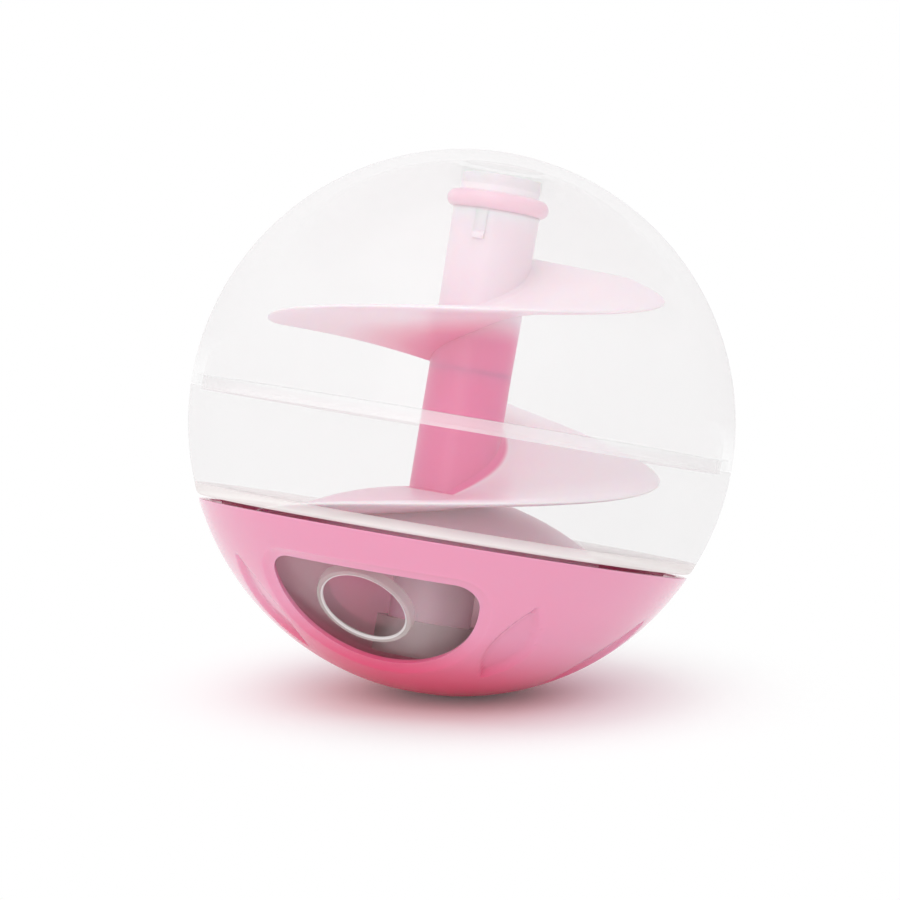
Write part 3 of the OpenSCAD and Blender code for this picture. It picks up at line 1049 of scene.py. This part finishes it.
    def dress(self, made: bpy.types.Object) -> None:
        """Presses the leaves in, and gives the base its finish and its place among the bodies."""
        bake_tree(made, self.leaf_tree(), {
            "Material": COVER_PINK.material(),
            "Ball radius": self.ball.radius * MM,
            "Middle height": self.ball.middle * MM,
            "Places": float(self.leaf_places),
            "Leaf angle": math.radians(self.leaf_angle),
            "Leaf length": self.leaf_length * MM,
            "Leaf width": self.leaf_width * MM,
            "Leaf depth": self.leaf_depth * MM,
        })
        stand_for(made, "base_cover", Body.BASE, Slot.PINK)


@dataclass(frozen=True)
class Flight:
    """One spiral ramp: where it starts, how far it winds and how wide it is."""

    start: float
    turn: float
    start_height: float
    pitch: float
    ease: float
    start_radius: float
    end_radius: float
    room: float

    def sizes(self, ball: Ball, column: float, rim: float, root: float, fillet: float) -> dict[str, float]:
        """Values for the inputs of the ramp's tree.

        Args:
            ball: The ball that the ramp winds in.
            column: Radius of the column.
            rim: Thickness at the rim.
            root: Thickness at the column.
            fillet: Rounding between tread and column.

        Returns:
            The values in metres and radians, by input.
        """
        return {
            "Start": math.radians(self.start),
            "Turn": math.radians(self.turn),
            "Start height": (ball.middle + self.start_height) * MM,
            "Drop": self.pitch * self.turn / 360 * MM,
            "Ease": self.ease,
            "Start radius": self.start_radius * MM,
            "End radius": self.end_radius * MM,
            "Room": self.room * MM,
            "Middle height": ball.middle * MM,
            "Column radius": column * MM,
            "Rim thickness": rim * MM,
            "Root thickness": root * MM,
            "Fillet": fillet * MM,
        }


@dataclass
class SpiralTower:
    """Tower of two stacked columns with a spiral ramp each, and the cap on top."""

    ball: Ball
    column: float = 7.6
    column_top_radius: float = 8.0
    column_wall: float = 1.5
    joint: float = 9.52
    spigot: float = 15.5
    spigot_gap: float = 0.15
    top: float = 39.0
    foot: float = -42.85
    rim: float = 1.4
    root: float = 3.6
    fillet: float = 1.8
    apron_radius: float = 29.0
    apron_top: float = -13.0
    apron_drop: float = 8.0
    apron_thickness: float = 1.6
    cap_radius: float = 9.4
    cap_height: float = 3.2
    neck_radius: float = 7.3
    neck_height: float = 3.4
    tab_azimuth: float = -1.0
    tab_width: float = 2.2
    tab_length: float = 5.6
    edge_round: float = 0.3
    upper: Flight = Flight(138.0, 215.0, 32.0, 30.5, 0.3, 32.06, 38.4, 47.0)
    lower: Flight = Flight(195.0, 262.0, 6.7, 40.0, 0.14, 37.5, 37.5, 42.4)

    def ramp_tree(self) -> bpy.types.NodeTree:
        """Builds the tree that winds a ramp round a column and joins the two.

        Returns:
            The tree, with the ramp's sizes in metres and radians as inputs.
        """
        tree, inputs = new_tree("spiral ramp", (
            "Start", "Turn", "Start height", "Drop", "Ease", "Start radius", "End radius", "Room",
            "Middle height", "Column radius", "Rim thickness", "Root thickness", "Fillet"))
        line = add_node(tree, "GeometryNodeCurvePrimitiveLine")
        path = add_node(tree, "GeometryNodeResampleCurve", {"Curve": line.outputs[0], "Count": 140})
        sides = 72
        circle = add_node(tree, "GeometryNodeCurvePrimitiveCircle", {"Resolution": sides, "Radius": 0.2})
        ways = []
        for name, curve in (("along", path.outputs[0]), ("around", circle.outputs[0])):
            share = add_node(tree, "GeometryNodeSplineParameter").outputs["Factor"]
            ways.append(add_node(tree, "GeometryNodeStoreNamedAttribute",
                                 {"Geometry": curve, "Name": name, "Value": share}, domain="POINT").outputs[0])
        tube = add_node(tree, "GeometryNodeCurveToMesh",
                        {"Curve": ways[0], "Profile Curve": ways[1], "Fill Caps": True})
        values = dict(inputs)
        for name in ("along", "around"):
            values[name] = add_node(tree, "GeometryNodeInputNamedAttribute", {"Name": name},
                                    data_type="FLOAT").outputs[0]
        work_out(tree, values, [
            ("to go", "SUBTRACT", 1.0, "along"),
            ("bow", "MULTIPLY", "along", "to go"),
            ("extra", "MULTIPLY", "bow", "Ease"),
            ("eased", "ADD", "along", "extra"),
            ("fallen", "MULTIPLY", "eased", "Drop"),
            ("tread", "SUBTRACT", "Start height", "fallen"),
            ("turned", "MULTIPLY", "along", "Turn"),
            ("azimuth", "SUBTRACT", "Start", "turned"),
            ("spread", "SUBTRACT", "End radius", "Start radius"),
            ("grown", "MULTIPLY", "along", "spread"),
            ("wide", "ADD", "Start radius", "grown"),
            ("height", "SUBTRACT", "tread", "Middle height"),
            ("underside", "SUBTRACT", "height", "Rim thickness"),
            ("square", "MULTIPLY", "underside", "underside"),
            ("room square", "MULTIPLY", "Room", "Room"),
            ("left", "SUBTRACT", "room square", "square"),
            ("limit", "SQRT", "left", 0.0),
            ("rim", "MINIMUM", "wide", "limit"),
            ("round", "ADD", "around", 0.5 / sides),
            ("twice", "MULTIPLY", "round", 2.0),
            ("from rim", "SUBTRACT", "twice", 1.0),
            ("way", "ABSOLUTE", "from rim", 0.0),
            ("out", "SUBTRACT", 1.0, "way"),
            ("quarter", "MULTIPLY", "out", math.pi / 2),
            ("reach", "SINE", "quarter", 0.0),
            ("root", "MULTIPLY", "Column radius", 0.85),
            ("width", "SUBTRACT", "rim", "root"),
            ("step out", "MULTIPLY", "width", "reach"),
            ("r", "ADD", "root", "step out"),
            ("toe", "ADD", "Column radius", "Fillet"),
            ("short", "SUBTRACT", "toe", "r"),
            ("near", "MAXIMUM", "short", 0.0),
            ("near square", "MULTIPLY", "near", "near"),
            ("hollow", "DIVIDE", "near square", "Fillet"),
            ("most", "MULTIPLY", "Fillet", 1.2),
            ("swell", "MINIMUM", "hollow", "most"),
            ("inward", "SUBTRACT", "rim", "r"),
            ("span", "SUBTRACT", "rim", "Column radius"),
            ("part", "DIVIDE", "inward", "span"),
            ("inner part", "MINIMUM", "part", 1.0),
            ("curve", "POWER", "inner part", 2.4),
            ("more", "SUBTRACT", "Root thickness", "Rim thickness"),
            ("belly", "MULTIPLY", "more", "curve"),
            ("nose", "MULTIPLY", "Rim thickness", 0.5),
            ("length", "MULTIPLY", "Rim thickness", 2.6),
            ("from nose", "SUBTRACT", "length", "inward"),
            ("short of it", "MAXIMUM", "from nose", 0.0),
            ("lost", "DIVIDE", "short of it", "length"),
            ("lost square", "MULTIPLY", "lost", "lost"),
            ("kept square", "SUBTRACT", 1.0, "lost square"),
            ("kept", "SQRT", "kept square", 0.0),
            ("half", "MULTIPLY", "kept", "nose"),
            ("middle", "SUBTRACT", "tread", "nose"),
            ("upper", "ADD", "half", "swell"),
            ("lower", "ADD", "half", "belly"),
            ("both", "ADD", "upper", "lower"),
            ("under", "GREATER_THAN", "round", 0.5),
            ("sunk", "MULTIPLY", "under", "both"),
            ("lift", "SUBTRACT", "upper", "sunk"),
            ("z", "ADD", "middle", "lift"),
            ("sin", "SINE", "azimuth", 0.0),
            ("cos", "COSINE", "azimuth", 0.0),
            ("x", "MULTIPLY", "r", "sin"),
            ("back", "MULTIPLY", "r", "cos"),
            ("y", "MULTIPLY", "back", -1.0),
        ])
        place = add_node(tree, "ShaderNodeCombineXYZ", {0: values["x"], 1: values["y"], 2: values["z"]})
        ramp = add_node(tree, "GeometryNodeSetPosition", {"Geometry": tube.outputs[0], "Position": place.outputs[0]})
        whole = add_node(tree, "GeometryNodeMeshBoolean", operation="UNION", solver="EXACT")
        tree.links.new(ramp.outputs[0], whole.inputs["Mesh 2"])
        tree.links.new(inputs["Geometry"], whole.inputs["Mesh 2"])
        end_tree(tree, whole.outputs[0], inputs["Material"])
        return tree

    def upper_column(self) -> Shape:
        """Section of the upper column and its spigot, turned."""
        bore = self.column - self.column_wall
        spigot = bore - self.spigot_gap
        spigot_bore = spigot - self.column_wall
        low, floor = self.joint - self.spigot, self.joint + self.column_wall
        section = [
            (self.column_top_radius, self.top), (self.column, self.joint), (spigot, self.joint), (spigot, low),
            (spigot_bore, low), (spigot_bore, floor), (bore, floor), (bore, self.top)]
        return revolve(section, steps=112)

    def lower_column(self) -> Shape:
        """Section of the lower column and its apron, turned."""
        bore = self.column - self.column_wall
        reach, fall = self.apron_radius, self.apron_drop
        centre = (reach ** 2 - self.column ** 2 + fall ** 2) / (2 * fall)
        ball = math.hypot(centre, self.column)
        middle = self.apron_top - centre
        inner = ball - self.apron_thickness
        ends = [math.degrees(math.acos(reach / r)) for r in (ball, inner)]
        starts = [math.degrees(math.acos(self.column / r)) for r in (ball, inner)]
        apron = arc((0.0, middle), ball, starts[0], ends[0], 20) + arc((0.0, middle), inner, ends[1], starts[1], 20)
        section = [(bore, self.joint), (self.column, self.joint), *apron, (self.column, self.foot),
                   (bore, self.foot)]
        return revolve(section, steps=112)

    def cap(self) -> Shape:
        """Section of the cap's collar, neck and plug, turned."""
        neck_in = self.neck_radius - self.column_wall
        plug = self.column - self.column_wall - self.spigot_gap
        plug_in = plug - self.column_wall
        half = self.cap_height / 2
        plug_low = self.top - self.tab_length / 2
        section = [
            (0.0, self.top), (plug_in, self.top), (plug_in, plug_low), (plug, plug_low), (plug, self.top),
            *arc((self.cap_radius - half, self.top + half), half, -90, 90, 12),
            (self.neck_radius, self.top + self.cap_height),
            (self.neck_radius, self.top + self.cap_height + self.neck_height),
            (neck_in, self.top + self.cap_height + self.neck_height),
            (neck_in, self.top + self.column_wall), (0.0, self.top + self.column_wall)]
        return revolve(soften(section, self.edge_round, closed=False), closed=False, steps=112)

    def tab(self) -> Shape:
        """Snap tab with its hook, under the cap's collar."""
        half = self.tab_width / 2
        front, back = self.column_top_radius, self.column - self.column_wall
        low, high = self.top - self.tab_length, self.top + 0.4
        hook = self.column_wall / 3
        side = [(-front, high), (-front, low + 3 * hook), (-front - hook, low + 2 * hook), (-front - hook, low),
                (-back + hook, low), (-back + hook, high)]
        turn = Matrix.Rotation(math.radians(self.tab_azimuth), 3, "Z")
        made = Shape([turn @ Vector((x, y, z)) for x in (-half, half) for y, z in side])
        count = len(side)
        made.bridge(range(count), range(count, 2 * count))
        made.faces += [tuple(range(count)), tuple(range(count, 2 * count))]
        return made

    def build(self) -> list[bpy.types.Object]:
        """Makes the two columns and the cap with its tab."""
        whole_cap = self.cap()
        whole_cap.add(self.tab())
        return [self.ball.piece("tower_upper_ramp", self.upper_column()),
                self.ball.piece("tower_lower_ramp", self.lower_column()),
                self.ball.piece("tower_top_cap", whole_cap)]

    def dress(self, pieces: Sequence[bpy.types.Object]) -> None:
        """Winds the ramps on, and gives the three pieces their finish and their place among the bodies."""
        tree = self.ramp_tree()
        finish = TOWER_PINK.material()
        for made, flight in zip(pieces, (self.upper, self.lower)):
            sizes = flight.sizes(self.ball, self.column, self.rim, self.root, self.fillet)
            bake_tree(made, tree, {"Material": finish, **sizes})
        pieces[2].data.materials.append(finish)
        for made, node in zip(pieces, ("upper_ramp", "lower_ramp", "tower_cap")):
            stand_for(made, node, Body.BOWL, Slot.PINK)


# Studio

@dataclass
class Studio:
    """White floor that the ball leans on, soft lamps and the camera."""

    ball: Ball
    azimuth: float = 18.0
    lean: float = 9.4
    distance: float = 700.0
    lens: float = 153.0
    picture_px: float = 900.0
    ball_px: Point = (461.8, 422.8)
    floor_tilt: float = 8.0
    floor_size: float = 3000.0
    shadow_near: float = 12.0
    shadow_far: float = 75.0

    def axes(self) -> tuple[Vector, Vector, Vector]:
        """Directions to the right, up and back towards the camera, as the leaning camera sees them."""
        a, lean = math.radians(self.azimuth), math.radians(self.lean)
        across = Vector((math.cos(a), math.sin(a), 0))
        back = Vector((math.sin(a), -math.cos(a), 0))
        axis = Vector((0, 0, 1))
        return (across * math.cos(lean) + axis * math.sin(lean),
                axis * math.cos(lean) - across * math.sin(lean), back)

    def centre(self) -> Vector:
        """Middle of the ball in metres."""
        return Vector((0, 0, self.ball.middle * MM))

    def shoot(self) -> None:
        """Puts the camera where it sees the ball at its place in the picture."""
        right, up, back = self.axes()
        data = bpy.data.cameras.new("camera")
        data.lens, data.sensor_width = self.lens, 36.0
        data.clip_start, data.clip_end = 0.01, 20.0
        made = bpy.data.objects.new("camera", data)
        bpy.context.scene.collection.objects.link(made)
        pixel = data.sensor_width / data.lens * self.distance / self.picture_px
        half = self.picture_px / 2
        off = right * (half - self.ball_px[0]) * pixel + up * (self.ball_px[1] - half) * pixel
        turn = Matrix((right, up, back)).transposed().to_4x4()
        made.matrix_world = Matrix.Translation(self.centre() + (off + back * self.distance) * MM) @ turn
        bpy.context.scene.camera = made

    def lay_floor(self) -> None:
        """Lays the floor against the ball, square to the camera's upright and tipped a little towards it."""
        right, up, back = self.axes()
        tilt = math.radians(self.floor_tilt)
        normal = up * math.cos(tilt) + back * math.sin(tilt)
        touch = self.centre() - normal * (self.ball.radius + 0.05) * MM
        ahead = normal.cross(right)
        half = self.floor_size / 2 * MM
        corners = [touch + right * half * x + ahead * half * y for x, y in ((-1, -1), (1, -1), (1, 1), (-1, 1))]
        mesh = bpy.data.meshes.new("floor")
        mesh.from_pydata(corners, [], [(0, 1, 2, 3)])
        made = bpy.data.objects.new("floor", mesh)
        bpy.context.scene.collection.objects.link(made)
        made.data.materials.append(self.floor_material(touch))

    def floor_material(self, touch: Vector) -> bpy.types.Material:
        """White paper sweep: matt, keeps the shadow near the ball, plain white further off and open from below.

        Args:
            touch: Where the ball touches it.

        Returns:
            The material.
        """
        made = bpy.data.materials.new("white_paper_sweep")
        made.use_nodes = True
        tree = made.node_tree
        paper = tree.nodes["Principled BSDF"]
        paper.inputs["Base Color"].default_value = srgb("F4F2F3")
        paper.inputs["Roughness"].default_value = 0.9
        paper.inputs["Specular IOR Level"].default_value = 0.1
        lift = add_node(tree, "ShaderNodeEmission", {"Strength": self.seen(tree)})
        lift.inputs["Color"].default_value = (0.06, 0.06, 0.06, 1.0)
        near = add_node(tree, "ShaderNodeAddShader", {0: paper.outputs[0], 1: lift.outputs[0]})
        place = add_node(tree, "ShaderNodeTexCoord").outputs["Object"]
        away = add_node(tree, "ShaderNodeVectorMath", {0: place, 1: touch}, operation="DISTANCE")
        off = add_node(tree, "ShaderNodeMapRange", {"Value": away.outputs["Value"], "From Min": self.shadow_near * MM,
                                                    "From Max": self.shadow_far * MM},
                       interpolation_type="SMOOTHSTEP")
        white = add_node(tree, "ShaderNodeEmission")
        whole = add_node(tree, "ShaderNodeMixShader",
                         {0: off.outputs["Result"], 1: near.outputs[0], 2: white.outputs[0]})
        below = add_node(tree, "ShaderNodeNewGeometry").outputs["Backfacing"]
        film = add_node(tree, "ShaderNodeBsdfTransparent")
        side = add_node(tree, "ShaderNodeMixShader", {0: below, 1: whole.outputs[0], 2: film.outputs[0]})
        tree.links.new(side.outputs[0], tree.nodes["Material Output"].inputs["Surface"])
        return made

    @staticmethod
    def seen(tree: bpy.types.NodeTree) -> bpy.types.NodeSocket:
        """Adds the test for what is seen, straight, mirrored or through something clear."""
        path = add_node(tree, "ShaderNodeLightPath").outputs
        values = {"camera": path["Is Camera Ray"], "glossy": path["Is Glossy Ray"],
                  "through": path["Is Transmission Ray"]}
        work_out(tree, values, [("either", "MAXIMUM", "camera", "glossy"), ("any", "MAXIMUM", "either", "through")])
        return values["any"]

    def light(self) -> None:
        """Hangs the soft lamps and lights the white room."""
        world = bpy.data.worlds.new("white_room")
        world.use_nodes = True
        bpy.context.scene.world = world
        tree = world.node_tree
        sky = tree.nodes["Background"]
        strength = add_node(tree, "ShaderNodeMix", {0: self.seen(tree), 2: 0.75, 3: 1.0})
        sky.inputs["Color"].default_value = (1.0, 1.0, 1.0, 1.0)
        tree.links.new(strength.outputs[0], sky.inputs["Strength"])
        self.lamp("overhead_softbox", (-0.25, 1.15, 0.3), 0.9, 5.0)
        self.lamp("front_softbox", (-0.35, 0.45, 1.2), 0.8, 3.8)

    def lamp(self, name: str, place: tuple[float, float, float], size: float, power: float) -> None:
        """Hangs one square softbox that points at the ball.

        Args:
            name: The lamp's name.
            place: How far to the right, up and back towards the camera, in metres.
            size: Its side in metres.
            power: Its power in watts.
        """
        data = bpy.data.lights.new(name, "AREA")
        data.size, data.energy = size, power
        made = bpy.data.objects.new(name, data)
        bpy.context.scene.collection.objects.link(made)
        offset = sum((axis * amount for axis, amount in zip(self.axes(), place)), Vector())
        made.location = self.centre() + offset
        made.rotation_euler = offset.to_track_quat("Z", "Y").to_euler()


def main() -> None:
    """Builds and dresses the ball piece by piece and sets up the studio."""
    logging.basicConfig(level=logging.INFO, format="%(name)s: %(message)s")
    bpy.context.scene.view_settings.view_transform = "Standard"
    ball = Ball.from_frame()
    for assembly in (ClearDome(ball), ClearBowl(ball), PinkBase(ball), SpiralTower(ball)):
        assembly.dress(assembly.build())
    studio = Studio(ball)
    studio.shoot()
    studio.lay_floor()
    studio.light()


if __name__ == "__main__":
    main()
